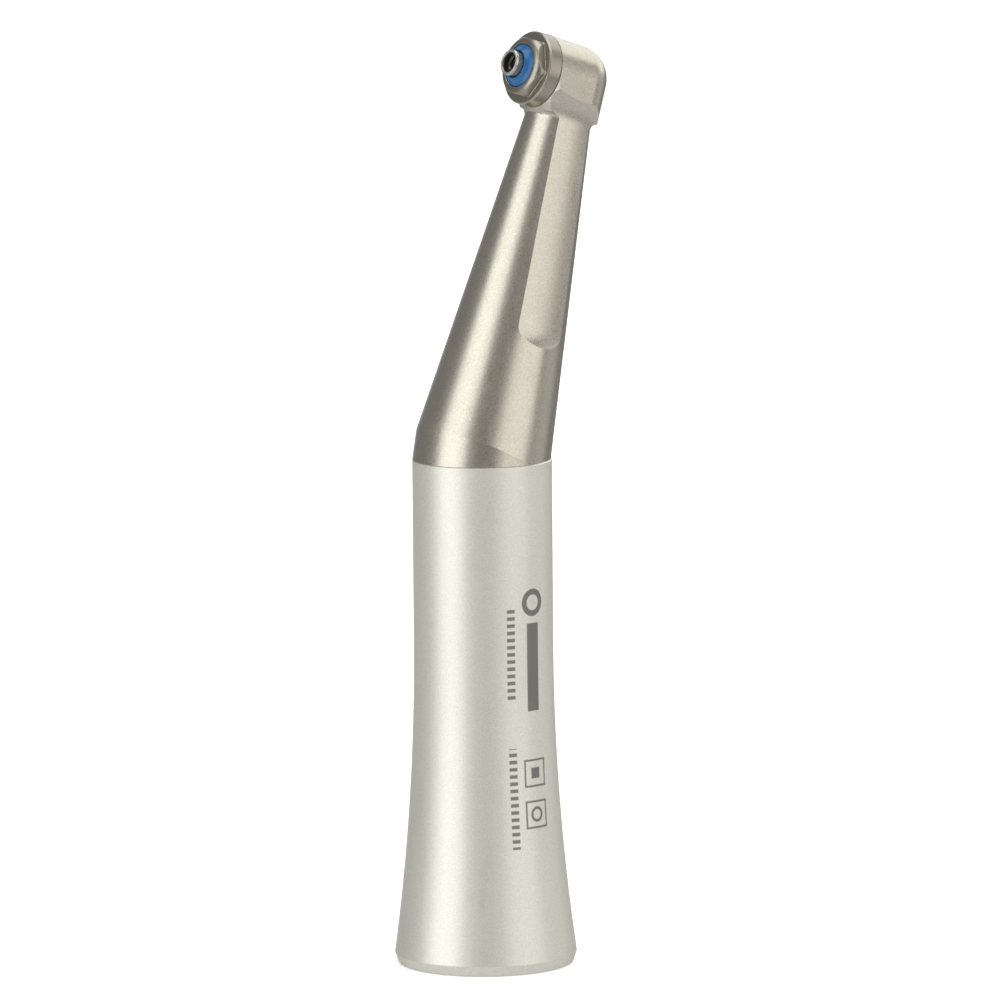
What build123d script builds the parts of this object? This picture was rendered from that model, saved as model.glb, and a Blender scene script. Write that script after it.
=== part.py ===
"""Contra angle handpiece: grip sleeve, bent neck with its head, and the whole drive train inside.

Frame: origin at the centre of the rear rim, +Z along the grip towards the head. The neck leans to +X
and the working end looks to -X. Millimetres.
"""
import os
from math import acos, atan, cos, pi, radians, sin, sqrt, tan

from build123d import *

# ---------------------------------------------------------------- driving dimensions
# grip sleeve
rear_radius = 10.147
rear_rim_radius = 9.71
rear_chamfer_height = 1.17
rear_edge_round = 0.25
grip_radius = 7.755
flare_top = 36.0
sleeve_length = 56.5
sleeve_bore = 6.95
rear_counterbore = 8.4
rear_counterbore_depth = 4.0
seam_chamfer = 0.10

# bend and neck
bend_height = 57.35
neck_tilt = 16.65
stub_lean = 10.5
neck_base_radius = 7.718
neck_slope = 0.10667
neck_low = -4.0
head_distance = 42.3
flat_depth = 0.52
flat_curve_radius = 16.0
flat_start = 14.3
flat_end = 37.0
flat_runout = 4.3
neck_flare_radius = 0.75
neck_flare_sweep = 82

# head: distances along the head axis are positive towards the working end
cap_seam = 4.07
head_back = -4.0
head_front_radius = 4.16
head_back_radius = 3.85
head_drop = 4.2
head_back_round = 3.0
head_belly_radius = 5.6
head_belly_depth = 2.9
cap_ring_end = 5.77
cap_face = 6.9
hexagon_across_flats = 6.28
hexagon_turn = 6.0
hexagon_corner_round = 0.3
hexagon_shoulder_round = 0.95
hexagon_shoulder_reach = 3.5
seal_radius = 2.38
seal_bore = 1.5
seal_rise = 0.58
spindle_tip = 8.42
spindle_tip_radius = 1.41
spindle_bore = 1.05
thread_minor_radius = 0.78

# motor socket
socket_bore = 6.2
socket_groove_radius = 6.6
socket_groove_low = 12.0
socket_groove_high = 13.2
socket_depth = 24.5
socket_end = 26.9
barrel_radius = 6.85

# gears
pressure_angle = radians(25)
addendum = 0.8
dedendum = 1.05
gear_play = 0.045
planet_module = 0.25
sun_teeth = 12
planet_teeth = 12
ring_teeth = 36
planet_count = 3
planet_low = 31.1
planet_high = 34.2
bend_module = 0.457
bend_teeth = 14
bend_face = 1.2
bend_play = 0.10
head_module = 0.28
head_teeth = 12
head_face = 0.75

# shafts and fits
main_journal = 1.5
running_gap = 0.05
dog_travel = 1.5

# ---------------------------------------------------------------- places worked out from them
bend_point = Vector(0, 0, bend_height)
neck_axis = Vector(sin(radians(neck_tilt)), 0, cos(radians(neck_tilt)))
neck_back = Vector(cos(radians(neck_tilt)), 0, -sin(radians(neck_tilt)))
working_axis = -neck_back
head_centre = bend_point + neck_axis * head_distance
planet_offset = planet_module * (sun_teeth + planet_teeth) / 2

# section planes: X is the radius, Y runs along the axis of the turned part
grip_section = Plane.XZ
neck_section = Plane(origin=bend_point, x_dir=neck_back, z_dir=(0, -1, 0))
head_section = Plane(origin=head_centre, x_dir=neck_axis, z_dir=(0, -1, 0))


def across_head(depth):
    """Plane square to the head axis at a depth, X towards -Y of the part and Y along the neck."""
    return Plane(origin=head_centre + working_axis * depth, x_dir=(0, -1, 0), z_dir=working_axis)


def neck_radius(distance):
    """Outer radius of the tapered neck at a distance from the bend."""
    return neck_base_radius - neck_slope * distance


def turned(corners, section, mode=Mode.ADD):
    """Revolve a closed outline of (radius, height) corners about the section's own height axis."""
    with BuildSketch(section) as outline:
        with BuildLine():
            Polyline(*corners, close=True)
        make_face()
    revolve(outline.sketch, axis=Axis(section.origin, section.y_dir), mode=mode)


def save(piece, label):
    """Label one finished piece and write it as its own STEP file."""
    piece.label = label
    export_step(piece, f"parts/{label}.step")


os.makedirs("parts", exist_ok=True)

# ---------------------------------------------------------------- grip sleeve
with BuildPart() as rear_sleeve:
    with BuildSketch(grip_section):
        with BuildLine():
            Polyline(
                (sleeve_bore, sleeve_length),
                (grip_radius - seam_chamfer, sleeve_length),
                (grip_radius, sleeve_length - seam_chamfer),
                (grip_radius, flare_top),
            )
            TangentArc((grip_radius, flare_top), (rear_radius, rear_chamfer_height), tangent=(0, -1))
            Polyline(
                (rear_radius, rear_chamfer_height),
                (rear_rim_radius, 0),
                (rear_counterbore, 0),
                (rear_counterbore, rear_counterbore_depth),
                (sleeve_bore, socket_depth),
                (sleeve_bore, sleeve_length),
            )
        make_face()
    revolve(axis=Axis.Z)
    rim_edges = rear_sleeve.edges().filter_by(GeomType.CIRCLE).group_by(Axis.Z)[0]
    fillet(rim_edges.sort_by(SortBy.RADIUS)[-1], rear_edge_round)
save(rear_sleeve.part, "rear_sleeve")

# ---------------------------------------------------------------- motor socket
flange_low = 0.35
flange_high = 2.6
mouth_chamfer = 0.7
shaft_passage = 3.0
spigot_low = 25.0
spigot_radius = 5.6
flange_slope = 0.6
groove_slope = 0.3

with BuildPart() as motor_socket:
    turned(
        [
            (socket_bore + mouth_chamfer, flange_low),
            (rear_counterbore, flange_low),
            (rear_counterbore, flange_high),
            (barrel_radius, flange_high + flange_slope),
            (barrel_radius, spigot_low),
            (spigot_radius, spigot_low),
            (spigot_radius, socket_end),
            (shaft_passage, socket_end),
            (shaft_passage, socket_depth),
            (socket_bore, socket_depth),
            (socket_bore, socket_groove_high),
            (socket_groove_radius, socket_groove_high - groove_slope),
            (socket_groove_radius, socket_groove_low + groove_slope),
            (socket_bore, socket_groove_low),
            (socket_bore, flange_low + mouth_chamfer),
        ],
        grip_section,
    )
save(motor_socket.part, "motor_socket")

# ---------------------------------------------------------------- gearbox barrel
ring_seat_end = 34.4
carrier_room = 4.2
carrier_room_end = 36.2
bearing_seat = 4.0
rear_bearing_low = 36.5
bearing_width = 3.0
rear_bearing_high = rear_bearing_low + bearing_width
relief_radius = 4.6
front_bearing_low = 49.5
front_bearing_high = front_bearing_low + bearing_width
nut_seat = 4.7
barrel_shoulder = 50.9
barrel_end = 54.4
neck_thread_radius = 6.0
o_ring_heights = (32.0, 46.0)
o_ring_wire = 0.33
o_ring_centre = sleeve_bore - o_ring_wire
o_ring_groove = o_ring_centre - o_ring_wire
o_ring_groove_width = 0.8
shoulder_lip = 3.4
shoulder_thickness = 0.8
shoulder_slope = 0.8

with BuildPart() as gearbox_barrel:
    turned(
        [
            (spigot_radius, spigot_low),
            (barrel_radius, spigot_low),
            (barrel_radius, barrel_shoulder),
            (neck_thread_radius, barrel_shoulder),
            (neck_thread_radius, barrel_end),
            (nut_seat, barrel_end),
            (nut_seat, front_bearing_high),
            (bearing_seat, front_bearing_high),
            (bearing_seat, front_bearing_low),
            (shoulder_lip, front_bearing_low),
            (shoulder_lip, front_bearing_low - shoulder_thickness),
            (relief_radius, front_bearing_low - shoulder_thickness - shoulder_slope),
            (relief_radius, rear_bearing_high + shoulder_thickness + shoulder_slope),
            (shoulder_lip, rear_bearing_high + shoulder_thickness),
            (shoulder_lip, rear_bearing_high),
            (bearing_seat, rear_bearing_high),
            (bearing_seat, carrier_room_end),
            (carrier_room, carrier_room_end),
            (carrier_room, ring_seat_end),
            (spigot_radius, ring_seat_end),
        ],
        grip_section,
    )
    for height in o_ring_heights:
        with BuildSketch(grip_section):
            with Locations((barrel_radius, height)):
                Rectangle(2 * (barrel_radius - o_ring_groove), o_ring_groove_width)
        revolve(axis=Axis.Z, mode=Mode.SUBTRACT)
save(gearbox_barrel.part, "gearbox_barrel")

with BuildPart() as sleeve_o_rings:
    for height in o_ring_heights:
        with Locations((0, 0, height)):
            Torus(o_ring_centre, o_ring_wire)
save(sleeve_o_rings.part, "sleeve_o_rings")

input_bearing_low = 27.2
plate_end = 30.2
with BuildPart() as bearing_plate:
    turned(
        [
            (shoulder_lip, socket_end),
            (spigot_radius, socket_end),
            (spigot_radius, plate_end),
            (bearing_seat, plate_end),
            (bearing_seat, input_bearing_low),
            (shoulder_lip, input_bearing_low),
        ],
        grip_section,
    )
save(bearing_plate.part, "bearing_plate")

nut_bore = 3.0
nut_face = front_bearing_high + 1.7
nut_slot_width = 0.8
nut_slot_depth = 0.6
with BuildPart() as gearbox_nut:
    turned(
        [
            (nut_bore, front_bearing_high),
            (nut_seat, front_bearing_high),
            (nut_seat, nut_face),
            (nut_bore, nut_face),
        ],
        grip_section,
    )
    with BuildSketch(Plane.XY.offset(nut_face)):
        Rectangle(3 * nut_seat, nut_slot_width)
    extrude(amount=-nut_slot_depth, mode=Mode.SUBTRACT)
save(gearbox_nut.part, "gearbox_nut")

# ---------------------------------------------------------------- gears
base_ratio = cos(pressure_angle)
foot_overlap = 0.05


def involute(angle):
    """Involute function of a pressure angle in radians."""
    return tan(angle) - angle


def half_tooth(radius, teeth, pitch_radius, play):
    """Half the angle that one tooth spans at a radius, with the play taken off at the pitch circle."""
    local_angle = acos(min(1.0, pitch_radius * base_ratio / radius))
    return pi / (2 * teeth) - play / (2 * pitch_radius) + involute(pressure_angle) - involute(local_angle)


def flank(low, high, teeth, pitch_radius, play, scale=1.0, steps=5):
    """Points up one flank of a tooth that stands along Y, its pitch point at the origin."""
    points = []
    for step in range(steps):
        radius = low + (high - low) * step / (steps - 1)
        angle = half_tooth(radius, teeth, pitch_radius, play)
        points.append((scale * radius * sin(angle), scale * (radius * cos(angle) - pitch_radius)))
    return points


def tooth_outline(right, root):
    """Closed tooth outline: two mirrored flanks, a flat crest and a straight foot at the root level."""
    left = [(-x, y) for x, y in reversed(right)]
    Spline(*right)
    Line(right[-1], left[0])
    Spline(*left)
    Polyline(left[-1], (left[-1][0], root), (right[0][0], root), right[0])


def spur_profile(module, teeth, start_angle, crest, root, play, plane):
    """Sketch of a whole spur gear, its crest and root heights in modules."""
    pitch_radius = module * teeth / 2
    tip_radius = pitch_radius + crest * module
    root_radius = pitch_radius - root * module
    foot = max(root_radius, pitch_radius * base_ratio)
    right = flank(foot, tip_radius, teeth, pitch_radius, play)
    with BuildSketch() as tooth:
        with BuildLine():
            tooth_outline(right, root_radius - foot_overlap - pitch_radius)
        make_face()
    tooth_face = tooth.sketch.moved(Location((0, pitch_radius, 0))).rotate(Axis.Z, -90)
    with BuildSketch(plane) as profile:
        Circle(root_radius)
        with PolarLocations(0, teeth, start_angle=start_angle):
            add(tooth_face)
    return profile


def bevel_gear(module, teeth, cone_angle, face, play, first_angle, nose, bore, rim_back, hub, hub_back):
    """Straight bevel gear with its cone's apex at the origin and its body below, on the Z axis."""
    pitch_radius = module * teeth / 2
    pitch_height = -pitch_radius / tan(cone_angle)
    cone_length = pitch_radius / sin(cone_angle)
    inner_scale = (cone_length - face) / cone_length
    back_radius = pitch_radius / cos(cone_angle)
    back_teeth = teeth / cos(cone_angle)
    right = flank(
        max(back_radius - dedendum * module, back_radius * base_ratio),
        back_radius + addendum * module,
        back_teeth,
        back_radius,
        play,
    )
    root_level = -dedendum * module
    generator = Vector(sin(cone_angle), 0, -cos(cone_angle))
    with BuildPart() as tooth:
        for scale in (1.0, inner_scale):
            pitch_point = Vector(pitch_radius * scale, 0, pitch_height * scale)
            with BuildSketch(Plane(origin=pitch_point, x_dir=(0, 1, 0), z_dir=generator)):
                with BuildLine():
                    tooth_outline(
                        [(x * scale, y * scale) for x, y in right],
                        (root_level - foot_overlap) * scale,
                    )
                make_face()
        loft()
    outer_root = (
        pitch_radius + root_level * cos(cone_angle),
        pitch_height + root_level * sin(cone_angle),
    )
    inner_root = (outer_root[0] * inner_scale, outer_root[1] * inner_scale)
    with BuildPart() as gear:
        turned(
            [
                (bore, nose),
                inner_root,
                outer_root,
                (outer_root[0], rim_back),
                (hub, rim_back),
                (hub, hub_back),
                (bore, hub_back),
            ],
            Plane.XZ,
        )
        with PolarLocations(0, teeth, start_angle=first_angle):
            add(tooth.part)
    return gear.part


# ---------------------------------------------------------------- input shaft and its spring-loaded dog
shaft_rear = 14.9
dog_shaft_radius = 1.25
dog_shaft_end = 25.5
sun_low = 30.95
pilot_radius = 0.6
pilot_end = 35.9
cross_pin_radius = 0.4
cross_pin_height = 17.5
dog_radius = 2.1
dog_low = 12.8
dog_high = 19.5
claw_depth = 1.6
claw_gap = 1.3
spring_seat_low = 25.7
spring_seat_radius = 2.3
shaft_chamfer = 0.3
sun_body_radius = 1.1

sun_profile = spur_profile(
    planet_module, sun_teeth, 0, addendum, dedendum, gear_play, Plane.XY.offset(sun_low)
)
with BuildPart() as input_shaft:
    turned(
        [
            (0, shaft_rear),
            (dog_shaft_radius - shaft_chamfer, shaft_rear),
            (dog_shaft_radius, shaft_rear + shaft_chamfer),
            (dog_shaft_radius, dog_shaft_end),
            (main_journal, dog_shaft_end),
            (main_journal, plate_end),
            (sun_body_radius, plate_end + 0.1),
            (sun_body_radius, planet_high),
            (pilot_radius, planet_high),
            (pilot_radius, pilot_end),
            (0, pilot_end),
        ],
        grip_section,
    )
    extrude(sun_profile.sketch, amount=planet_high - sun_low)
    with BuildSketch(Plane.XZ):
        with Locations((0, cross_pin_height)):
            Circle(cross_pin_radius)
    extrude(amount=2 * dog_shaft_radius, both=True, mode=Mode.SUBTRACT)
save(input_shaft.part, "input_shaft")

with BuildPart() as dog_cross_pin:
    with BuildSketch(Plane.XZ):
        with Locations((0, cross_pin_height)):
            Circle(cross_pin_radius)
    extrude(amount=dog_radius - 0.15, both=True)
save(dog_cross_pin.part, "dog_cross_pin")

with BuildPart() as drive_dog:
    turned(
        [
            (dog_shaft_radius + running_gap, dog_low),
            (dog_radius - shaft_chamfer, dog_low),
            (dog_radius, dog_low + shaft_chamfer),
            (dog_radius, dog_high),
            (dog_shaft_radius + running_gap, dog_high),
        ],
        grip_section,
    )
    with BuildSketch(Plane.XY.offset(dog_low)):
        Rectangle(3 * dog_radius, claw_gap)
    extrude(amount=claw_depth, mode=Mode.SUBTRACT)
    slot_low = cross_pin_height - cross_pin_radius - running_gap - dog_travel
    slot_high = cross_pin_height + cross_pin_radius + running_gap
    with BuildSketch(Plane.XZ):
        with Locations((0, (slot_low + slot_high) / 2)):
            SlotOverall(slot_high - slot_low, 2 * (cross_pin_radius + running_gap), rotation=90)
    extrude(amount=2 * dog_radius, both=True, mode=Mode.SUBTRACT)
save(drive_dog.part, "drive_dog")

with BuildPart() as spring_seat:
    turned(
        [
            (main_journal, spring_seat_low),
            (spring_seat_radius, spring_seat_low),
            (spring_seat_radius, input_bearing_low - shaft_chamfer),
            (spring_seat_radius - shaft_chamfer, input_bearing_low),
            (main_journal, input_bearing_low),
        ],
        grip_section,
    )
save(spring_seat.part, "spring_seat")

spring_wire = 0.2
spring_radius = 1.75
spring_gap = 0.02
spring_turns = 6
spring_low = dog_high + spring_wire + spring_gap
spring_length = spring_seat_low - spring_wire - spring_gap - spring_low
with BuildPart() as dog_spring:
    with BuildLine() as coil:
        Helix(spring_length / spring_turns, spring_length, spring_radius, center=(0, 0, spring_low))
    with BuildSketch(Plane(coil.line ^ 0)):
        Circle(spring_wire)
    sweep(path=coil.line, is_frenet=True)
save(dog_spring.part, "dog_spring")

# ---------------------------------------------------------------- planetary stage
ring_spaces = spur_profile(
    planet_module, ring_teeth, 180 / ring_teeth, dedendum, addendum, -gear_play,
    Plane.XY.offset(plate_end),
)
with BuildPart() as ring_gear:
    with BuildSketch(Plane.XY.offset(plate_end)):
        Circle(spigot_radius)
    extrude(amount=ring_seat_end - plate_end)
    extrude(ring_spaces.sketch, amount=ring_seat_end - plate_end, mode=Mode.SUBTRACT)
save(ring_gear.part, "ring_gear")

pin_radius = 0.6
for number, place in enumerate(PolarLocations(planet_offset, planet_count, rotate=False), start=1):
    planet_profile = spur_profile(
        planet_module, planet_teeth, 180 / planet_teeth, addendum, dedendum, gear_play, Plane.XY
    )
    with BuildPart() as planet:
        extrude(planet_profile.sketch, amount=planet_high - planet_low)
        Cylinder(pin_radius + running_gap, 4 * (planet_high - planet_low), mode=Mode.SUBTRACT)
    on_its_pin = Location((place.position.X, place.position.Y, planet_low))
    save(planet.part.moved(on_its_pin), f"planet_gear_{number}")

carrier_plate_low = 30.45
carrier_plate_high = 30.9
carrier_radius = 3.95
carrier_disc_low = 34.35
carrier_disc_high = 35.9
carrier_shaft_end = 56.6
carrier_collar_radius = 2.0
carrier_window = 1.95
pilot_bore_depth = 1.7
with BuildPart() as planet_carrier:
    turned(
        [
            (0, carrier_disc_low + pilot_bore_depth),
            (pilot_radius + running_gap, carrier_disc_low + pilot_bore_depth),
            (pilot_radius + running_gap, carrier_disc_low),
            (carrier_radius, carrier_disc_low),
            (carrier_radius, carrier_disc_high),
            (carrier_collar_radius, carrier_disc_high),
            (carrier_collar_radius, rear_bearing_low),
            (main_journal, rear_bearing_low),
            (main_journal, carrier_shaft_end - 0.2),
            (main_journal - 0.2, carrier_shaft_end),
            (0, carrier_shaft_end),
        ],
        grip_section,
    )
    with Locations(Plane.XY.offset(carrier_disc_low)):
        with PolarLocations(planet_offset, planet_count):
            Cylinder(pin_radius, 2 * bearing_width, mode=Mode.SUBTRACT)
save(planet_carrier.part, "planet_carrier")

with BuildPart() as carrier_plate:
    with BuildSketch(Plane.XY.offset(carrier_plate_low)):
        Circle(carrier_radius)
        Circle(carrier_window, mode=Mode.SUBTRACT)
        with PolarLocations(planet_offset, planet_count):
            Circle(pin_radius, mode=Mode.SUBTRACT)
    extrude(amount=carrier_plate_high - carrier_plate_low)
save(carrier_plate.part, "carrier_plate")

with BuildPart() as planet_pins:
    with BuildSketch(Plane.XY.offset(carrier_plate_low)):
        with PolarLocations(planet_offset, planet_count):
            Circle(pin_radius)
    extrude(amount=carrier_disc_high - carrier_plate_low)
save(planet_pins.part, "planet_pins")

spacer_radius = 2.1
with BuildPart() as carrier_spacer:
    turned(
        [
            (main_journal, rear_bearing_high),
            (spacer_radius, rear_bearing_high),
            (spacer_radius, front_bearing_low),
            (main_journal, front_bearing_low),
        ],
        grip_section,
    )
save(carrier_spacer.part, "carrier_spacer")

# ---------------------------------------------------------------- gear pair at the bend
bend_cone_angle = radians((180 - neck_tilt) / 2)
bend_nose = -0.75
bend_rim_back = -1.75
bend_drive_hub = 2.4
bend_driven_hub = 2.1
upper_gear_place = Plane(origin=bend_point, x_dir=neck_back, z_dir=-neck_axis)

bend_drive_gear = bevel_gear(
    bend_module, bend_teeth, bend_cone_angle, bend_face, bend_play, 0,
    bend_nose, main_journal, bend_rim_back, bend_drive_hub, front_bearing_high - bend_height,
)
save(bend_drive_gear.moved(Location(bend_point)), "bend_drive_gear")

neck_bearing_low = 3.4
bend_driven_gear = bevel_gear(
    bend_module, bend_teeth, bend_cone_angle, bend_face, bend_play, 180 / bend_teeth,
    bend_nose, main_journal, bend_rim_back, bend_driven_hub, -neck_bearing_low,
)
save(bend_driven_gear.moved(upper_gear_place.location), "bend_driven_gear")

# ---------------------------------------------------------------- neck shaft
neck_bearing_high = neck_bearing_low + bearing_width
neck_bearing_seat = 3.5
front_seat_low = 35.1
front_seat_high = 37.1
small_journal = 0.75
neck_shaft_end = head_distance - 1.2
neck_shaft_collar = 1.9
neck_shaft_radius = 1.1
collar_width = 0.8
collar_slope = 0.6
shaft_end_chamfer = 0.2
with BuildPart() as neck_shaft:
    turned(
        [
            (0, -bend_nose),
            (main_journal - shaft_end_chamfer, -bend_nose),
            (main_journal, shaft_end_chamfer - bend_nose),
            (main_journal, neck_bearing_high),
            (neck_shaft_collar, neck_bearing_high),
            (neck_shaft_collar, neck_bearing_high + collar_width),
            (neck_shaft_radius, neck_bearing_high + collar_width + collar_slope),
            (neck_shaft_radius, front_seat_low),
            (small_journal, front_seat_low),
            (small_journal, neck_shaft_end),
            (0, neck_shaft_end),
        ],
        neck_section,
    )
save(neck_shaft.part, "neck_shaft")

head_cone_angle = radians(45)
pinion_place = Plane(origin=head_centre, x_dir=working_axis, z_dir=neck_axis)
head_gear_place = Plane(origin=head_centre, x_dir=-neck_axis, z_dir=neck_back)
head_pitch_radius = head_module * head_teeth / 2
head_inner_scale = 1 - head_face * sin(head_cone_angle) / head_pitch_radius
head_nose = -(head_pitch_radius + dedendum * head_module * sin(head_cone_angle)) * head_inner_scale
head_rim_back = -2.5
pinion_hub = 1.2
pinion_back_gap = 0.1
head_gear_hub = 1.3

head_pinion = bevel_gear(
    head_module, head_teeth, head_cone_angle, head_face, gear_play, 0,
    head_nose, small_journal, head_rim_back, pinion_hub, front_seat_high + pinion_back_gap - head_distance,
)
save(head_pinion.moved(pinion_place.location), "head_pinion")

spindle_shoulder = 2.85
rotor_journal = 0.85
head_gear = bevel_gear(
    head_module, head_teeth, head_cone_angle, head_face, gear_play, 180 / head_teeth,
    head_nose, rotor_journal, head_rim_back, head_gear_hub, -spindle_shoulder,
)
save(head_gear.moved(head_gear_place.location), "head_gear")

# ---------------------------------------------------------------- chuck spindle
front_bearing_bore = 1.5875
front_bearing_outer = 3.175
head_bearing_back = 3.1
head_bearing_front = 5.48
back_bearing_front = -2.1
back_bearing_back = -3.3
spindle_flange_radius = 1.9
lip_chamfer = 0.12
bore_chamfer = 0.16
thread_mouth = spindle_tip - 0.78
thread_chamfer = 0.14
thread_bottom = 3.6
drill_point = 0.4
with BuildPart() as chuck_spindle:
    turned(
        [
            (0, back_bearing_back + 0.1),
            (small_journal, back_bearing_back + 0.1),
            (small_journal, back_bearing_front),
            (rotor_journal, back_bearing_front),
            (rotor_journal, spindle_shoulder),
            (spindle_flange_radius, spindle_shoulder),
            (spindle_flange_radius, head_bearing_back),
            (front_bearing_bore, head_bearing_back),
            (front_bearing_bore, head_bearing_front),
            (spindle_tip_radius, head_bearing_front + 0.1),
            (spindle_tip_radius, spindle_tip - lip_chamfer),
            (spindle_tip_radius - lip_chamfer, spindle_tip),
            (spindle_bore + bore_chamfer, spindle_tip),
            (spindle_bore, spindle_tip - bore_chamfer),
            (spindle_bore, thread_mouth),
            (thread_minor_radius + thread_chamfer, thread_mouth),
            (thread_minor_radius, thread_mouth - thread_chamfer),
            (thread_minor_radius, thread_bottom),
            (0, thread_bottom - drill_point),
        ],
        head_section,
    )
save(chuck_spindle.part, "chuck_spindle")

# ---------------------------------------------------------------- head cap and seal
cap_thread_radius = 3.6
cap_spigot_end = 3.15
seam_gap = 0.09
ring_inset = 0.2
ring_chamfer = 0.14
ring_taper = 0.03
seal_seat_back = 5.7
seal_flange_radius = 2.75
seal_groove_width = 0.09
seal_groove_depth = 0.3
hexagon_corner = hexagon_across_flats / sqrt(3)

with BuildPart() as cap_hexagon:
    with BuildSketch(across_head(cap_ring_end - ring_inset)):
        RegularPolygon(hexagon_corner, 6, rotation=180 - hexagon_turn)
    extrude(amount=cap_face - cap_ring_end + ring_inset)
    head_axis = Axis(head_centre, working_axis)
    fillet(cap_hexagon.edges().filter_by(head_axis), hexagon_corner_round)
    # turned shoulder that rounds the hexagon's face and takes its corners down
    with BuildSketch(head_section):
        with BuildLine():
            shoulder = JernArc(
                (hexagon_shoulder_reach - hexagon_shoulder_round, cap_face), (1, 0), hexagon_shoulder_round, -90
            )
            Polyline(
                shoulder @ 1,
                (hexagon_corner, cap_ring_end - ring_inset),
                (hexagon_corner, cap_ring_end - 1),
                (0, cap_ring_end - 1),
                (0, cap_face),
                shoulder @ 0,
            )
        make_face()
    revolve(axis=head_axis, mode=Mode.INTERSECT)

with BuildPart() as head_cap:
    turned(
        [
            (0, cap_spigot_end),
            (cap_thread_radius, cap_spigot_end),
            (cap_thread_radius, cap_seam),
            (head_front_radius - ring_inset, cap_seam),
            (head_front_radius - ring_inset, cap_seam + seam_gap),
            (head_front_radius - seam_gap / 2, cap_seam + seam_gap),
            (head_front_radius, cap_seam + 1.5 * seam_gap),
            (head_front_radius - ring_taper, cap_ring_end - ring_chamfer),
            (head_front_radius - ring_taper - ring_chamfer, cap_ring_end),
            (0, cap_ring_end),
        ],
        head_section,
    )
    add(cap_hexagon.part)
    turned(
        [
            (0, cap_spigot_end - 1),
            (front_bearing_outer, cap_spigot_end - 1),
            (front_bearing_outer, head_bearing_front),
            (seal_flange_radius, head_bearing_front),
            (seal_flange_radius, seal_seat_back),
            (seal_radius, seal_seat_back),
            (seal_radius, cap_face - seal_groove_depth),
            (seal_radius + seal_groove_width, cap_face - seal_groove_depth),
            (seal_radius + seal_groove_width, cap_face + 1),
            (0, cap_face + 1),
        ],
        head_section,
        mode=Mode.SUBTRACT,
    )
save(head_cap.part, "head_cap")

seal_edge = 0.08
with BuildPart() as front_seal:
    turned(
        [
            (seal_bore, seal_seat_back),
            (seal_radius, seal_seat_back),
            (seal_radius, cap_face - seal_edge),
            (seal_radius - seal_edge, cap_face),
            (seal_bore + seal_edge, cap_face + seal_rise),
            (seal_bore, cap_face + seal_rise - seal_edge),
        ],
        head_section,
    )
save(front_seal.part, "front_seal")

washer_bore = 2.6
washer_radius = 3.1
washer_low = 2.92
washer_high = 3.06
with BuildPart() as preload_washer:
    turned(
        [
            (washer_bore, washer_low),
            (washer_radius, washer_low),
            (washer_radius, washer_high),
            (washer_bore, washer_high),
        ],
        head_section,
    )
save(preload_washer.part, "preload_washer")

# ---------------------------------------------------------------- neck and head housing, one machined piece
underside = head_distance - head_drop
footprint_side = 4.1
join_overlap = 0.02
front_bearing_seat = 2.0
neck_relief = 2.4

# the head's lower corners narrow in a cone to the round seam
head_belly = [
    (0, cap_seam),
    (head_front_radius, cap_seam),
    (head_belly_radius, head_belly_depth),
    (head_belly_radius, head_back - 1),
    (0, head_back - 1),
]
with BuildPart() as head_block:
    for depth, radius in ((cap_seam, head_front_radius), (head_back, head_back_radius)):
        with BuildSketch(across_head(depth)):
            with BuildLine():
                Polyline((-radius, 0), (-radius, -head_drop), (radius, -head_drop), (radius, 0))
                ThreePointArc((radius, 0), (0, radius), (-radius, 0))
            make_face()
    loft()
    back_face = head_block.faces().sort_by(Axis(head_centre, working_axis))[0]
    back_edges = back_face.edges().sort_by(Axis(head_centre, neck_axis))[1:]
    fillet(back_edges, head_back_round)
    turned(head_belly, head_section, mode=Mode.INTERSECT)

# fillet where the neck meets the head's underside, no wider than the head itself
neck_half_angle = atan(neck_slope)
flare_rise = sin(radians(neck_flare_sweep) - neck_half_angle) + sin(neck_half_angle)
flare_low = underside - neck_flare_radius * flare_rise
footprint_plane = Plane(
    origin=bend_point + neck_axis * (flare_low - 1), x_dir=neck_back, z_dir=neck_axis
)
with BuildPart() as neck_flare:
    with BuildSketch(neck_section):
        with BuildLine():
            flare_arc = JernArc(
                (neck_radius(flare_low), flare_low), (-neck_slope, 1), neck_flare_radius, -neck_flare_sweep
            )
            Polyline(
                flare_arc @ 1,
                ((flare_arc @ 1).X, underside + join_overlap),
                (neck_relief, underside + join_overlap),
                (neck_relief, flare_low),
                flare_arc @ 0,
            )
        make_face()
    revolve(axis=Axis(bend_point, neck_axis))
    with BuildSketch(footprint_plane):
        with Locations(((-head_back - cap_seam) / 2, 0)):
            Rectangle(cap_seam - head_back, 2 * footprint_side)
        fillet(vertices().group_by(Axis.X)[-1], head_back_round)
    extrude(amount=3, mode=Mode.INTERSECT)
    turned(head_belly, head_section, mode=Mode.INTERSECT)

neck_spigot_low = 51.0
spigot_fit = 0.02
pinion_passage = 1.9
gear_chamber = 2.5
washer_seat = 2.9
bend_chamber_radius = 4.0
bend_chamber_back = -1.5
cone_mouth_radius = 4.6
neck_nut_low = 2.0
neck_step_radius = 2.9
runout_sweep = 65
flat_cut_reach = grip_radius + 3

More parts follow.
